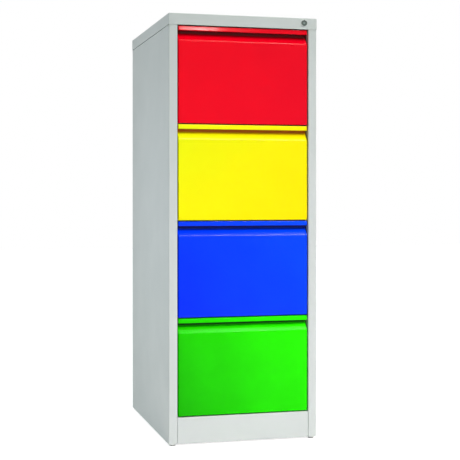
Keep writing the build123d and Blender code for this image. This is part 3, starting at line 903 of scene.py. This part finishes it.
# %% One weld mark
WELD_RADIUS = 3.8 * MM
WELD_PROUD = 0.5 * MM
WELD_RIM = 1.3 * MM
WELD_DENT = 0.45 * MM
WELD_EDGE = 0.3 * MM
bpy.ops.object.select_all(action="DESELECT")
bpy.ops.mesh.primitive_cylinder_add(
    vertices=24, radius=WELD_RADIUS, depth=WELD_PROUD,
    location=(0, panel_high.y + WELD_PROUD / 2, 0), rotation=(pi / 2, 0, 0),
)
weld = bpy.context.object
settle()
open_piece(weld)
pick(weld, "FACE", lambda face: face.normal.y > 0.9)
bpy.ops.mesh.inset(thickness=WELD_RIM)
bpy.ops.transform.translate(value=(0, -WELD_DENT, 0))
pick(weld, "EDGE", lambda edge: lies_at(edge, 1, panel_high.y + WELD_PROUD))
round_off(WELD_EDGE, 3)
close_piece()
shade(weld, 60)
print("weld faces:", len(weld.data.polygons))

# %% Weld both flanges
WELDS = 15
WELD_MARGIN = 50.0 * MM
first_weld = panel_low.z + WELD_MARGIN
weld_spacing = (cap_edge - WELD_MARGIN - first_weld) / (WELDS - 1)
flange_x = panel_low.x + REAR_FLANGE / 2
copies = [
    copy_piece(weld, "weld", (x, 0, first_weld + step * weld_spacing))
    for x in (flange_x, -flange_x) for step in range(WELDS)
]
bpy.data.objects.remove(weld)
print("spot welds:", len(copies), "every", round(weld_spacing / MM, 1), "mm")
dress(join_pieces(copies, "spot_welds"), "carcass", "carcass_paint")

# %% [markdown]
# ## Screws of the slides
#
# The inner member of each slide is fixed to its tray with three pan-head screws, whose heads show
# inside the drawer. A head is a short cylinder with a well-rounded rim, and a cross of two bars
# cuts its recess.

# %% One screw head
SCREW_RADIUS = 3.8 * MM
SCREW_HEIGHT = 2.0 * MM
SCREW_ROUND = 1.3 * MM
RECESS_BAR = Vector((5.0, 1.1, 2.0)) * MM
bpy.ops.object.select_all(action="DESELECT")
bpy.ops.mesh.primitive_cylinder_add(
    vertices=24, radius=SCREW_RADIUS, depth=SCREW_HEIGHT, location=(0, 0, SCREW_HEIGHT / 2)
)
screw = bpy.context.object
settle()
open_piece(screw)
pick(screw, "EDGE", lambda edge: lies_at(edge, 2, SCREW_HEIGHT))
round_off(SCREW_ROUND, 4)
close_piece()
for turn in (0, pi / 2):
    bpy.ops.object.select_all(action="DESELECT")
    bpy.ops.mesh.primitive_cube_add(
        size=1, location=(0, 0, SCREW_HEIGHT), rotation=(0, 0, turn), scale=RECESS_BAR
    )
    bar = bpy.context.object
    apply_modifier(screw, "BOOLEAN", object=bar, operation="DIFFERENCE", solver="EXACT")
    bpy.data.objects.remove(bar)
shade(screw, 40)
print("screw faces:", len(screw.data.polygons))

# %% Drive the screws
TRAY_SHEET = 0.8 * MM
SCREW_SPACING = 200.0 * MM
for drawer in drawers:
    tray_low, tray_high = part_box(drawer + "_tray")
    slide_low, slide_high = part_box(drawer + "_slide_inner")
    middle = (slide_low + slide_high) / 2
    copies = []
    for side, wall in ((1, tray_low.x + TRAY_SHEET), (-1, tray_high.x - TRAY_SHEET)):
        for step in (-1, 0, 1):
            head = copy_piece(screw, "screw", (0, 0, 0))
            bpy.ops.transform.rotate(value=-side * pi / 2, orient_axis="Y", center_override=(0, 0, 0))
            bpy.ops.transform.translate(value=(wall, middle.y + step * SCREW_SPACING, middle.z))
            settle()
            copies.append(head)
    screws = join_pieces(copies, drawer + "_slide_screws")
    print_box(screws)
    dress(screws, drawer, "zinc_steel")
bpy.data.objects.remove(screw)

# %% [markdown]
# ## Studio
#
# The cabinet stands on a white floor in a white room. Whatever the camera or a reflection sees of
# the room is plain white, while the light that the room throws on the cabinet is weaker, so that
# the lamps can shape it. The floor adds a little glow to its own diffuse white: enough to melt
# into the background, and not enough to hide the soft shadow under the cabinet.

# %% White room
def seen_directly(tree):
    """1 for camera rays, reflections and views through glass, and 0 for light that falls on things."""
    path = add_node(tree, "ShaderNodeLightPath")
    seen = path.outputs["Is Camera Ray"]
    for ray in ("Is Glossy Ray", "Is Transmission Ray"):
        seen = add_node(
            tree, "ShaderNodeMath", {0: seen, 1: path.outputs[ray]}, operation="MAXIMUM"
        ).outputs[0]
    return seen


ROOM_LIGHT = (0.305, 0.37, 0.36, 1.0)
FLOOR_WHITE = (0.66, 0.64, 0.62, 1.0)
FLOOR_GLOW = 0.85
FLOOR_SIZE = 24.0
WHITE = (1.0, 1.0, 1.0, 1.0)
world = bpy.data.worlds.new("white_room")
bpy.context.scene.world = world
world.use_nodes = True
tree = world.node_tree
tree.nodes.clear()
room_colour = add_node(
    tree, "ShaderNodeMix", {0: seen_directly(tree), 6: ROOM_LIGHT, 7: WHITE}, data_type="RGBA"
)
room = add_node(tree, "ShaderNodeBackground", {"Color": room_colour.outputs[2]})
add_node(tree, "ShaderNodeOutputWorld", {"Surface": room.outputs["Background"]})
print("world:", world.name)

# %% Floor
bpy.ops.object.select_all(action="DESELECT")
bpy.ops.mesh.primitive_plane_add(size=FLOOR_SIZE, location=(0, 0, 0))
floor = bpy.context.object
floor.name = floor.data.name = "studio_floor"
floor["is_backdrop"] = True
paper = bpy.data.materials.new("white_studio_floor")
paper.use_nodes = True
tree = paper.node_tree
tree.nodes.clear()
white = add_node(tree, "ShaderNodeBsdfDiffuse", {"Color": FLOOR_WHITE})
glow_strength = add_node(
    tree, "ShaderNodeMath", {0: seen_directly(tree), 1: FLOOR_GLOW}, operation="MULTIPLY"
)
glow = add_node(tree, "ShaderNodeEmission", {"Strength": glow_strength.outputs[0]})
both = add_node(tree, "ShaderNodeAddShader", {0: white.outputs[0], 1: glow.outputs[0]})
add_node(tree, "ShaderNodeOutputMaterial", {"Surface": both.outputs[0]})
floor.data.materials.append(paper)
print("floor in m:", FLOOR_SIZE)

# %% [markdown]
# ## Lamps
#
# The front softbox is the main light. It stands to the right of the camera, well above the
# cabinet, and its beam is aimed low, so that the fronts get brighter towards the floor. A top
# softbox lights the slopes of the finger-pulls, and a very small lamp nearer to the camera draws
# the glint on the lip of the top drawer. Weak fills keep the sides and the back from going flat.
# The one behind stands off to one side, since a lamp straight behind the cabinet would flatten
# its weld marks.

# %% Softboxes
def softbox(name, place, aim, width, height, power, tint, spread):
    """A rectangular area lamp that faces a point, with its beam held to a spread in degrees."""
    bpy.ops.object.light_add(type="AREA", location=place)
    lamp = bpy.context.object
    lamp.name = lamp.data.name = name
    lamp.rotation_euler = (Vector(aim) - Vector(place)).to_track_quat("-Z", "Y").to_euler()
    lamp.data.shape = "RECTANGLE"
    lamp.data.size = width
    lamp.data.size_y = height
    lamp.data.energy = power
    lamp.data.color = tint
    lamp.data.spread = radians(spread)


# Name, place, aim, width and height in metres, power in watts, tint, spread
softbox("front_softbox", (1.4, -3.6, 3.6), (0.15, -1.6, 0.0), 1.3, 0.9, 32.5, (1.02, 0.9, 0.96), 58)
softbox("top_softbox", (1.1, -1.75, 4.0), (0.15, -0.3, 0.35), 1.2, 0.8, 5.0, (1.0, 0.98, 0.78), 60)
softbox("side_fill", (-1.05, -0.1, 0.74), (-0.235, -0.1, 0.74), 0.4, 0.4, 1.9, (0.95, 0.97, 1.08), 180)
softbox("right_fill", (1.05, 0.1, 0.74), (0.235, 0.1, 0.74), 0.4, 0.4, 1.2, (1.0, 0.95, 1.0), 180)
softbox("back_fill", (1.0, 1.7, 1.3), (0.0, 0.31, 0.65), 0.3, 0.9, 2.0, (1.0, 0.94, 0.98), 44)
softbox("glint_softbox", (0.6, -3.3, 2.33), (-0.14, -0.3, 1.25), 0.18, 0.08, 0.6, (1.0, 1.0, 1.0), 50)
bpy.context.scene.view_settings.view_transform = "Standard"
print("lamps:", len(bpy.data.lights))

# %% [markdown]
# ## Camera
#
# The camera stands to the left of the cabinet at about half its height and looks almost level,
# from nearly four metres away. Its place and focal length were worked out from the corners of the
# cabinet, and a small shift moves the frame down without tilting the uprights.

# %% Camera
FRAME_PIXELS = 460
FOCAL_PIXELS = 1109.7
SHIFT_PIXELS = (13.28, -32.28)
SENSOR = 36.0
CAMERA_PLACE = Vector((-929.5, -3571.0, 752.5)) * MM
CAMERA_PITCH = radians(89.927)
CAMERA_TURN = radians(-14.5)
bpy.ops.object.camera_add(location=CAMERA_PLACE, rotation=(CAMERA_PITCH, 0, CAMERA_TURN))
camera = bpy.context.object
camera.data.sensor_width = SENSOR
camera.data.lens = FOCAL_PIXELS / FRAME_PIXELS * SENSOR
camera.data.shift_x = SHIFT_PIXELS[0] / FRAME_PIXELS
camera.data.shift_y = SHIFT_PIXELS[1] / FRAME_PIXELS
bpy.context.scene.camera = camera
print("lens in mm:", round(camera.data.lens, 1))

# %% Size
low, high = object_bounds()
print("visual box in mm:", [round(v / MM, 1) for v in (*low, *high)])
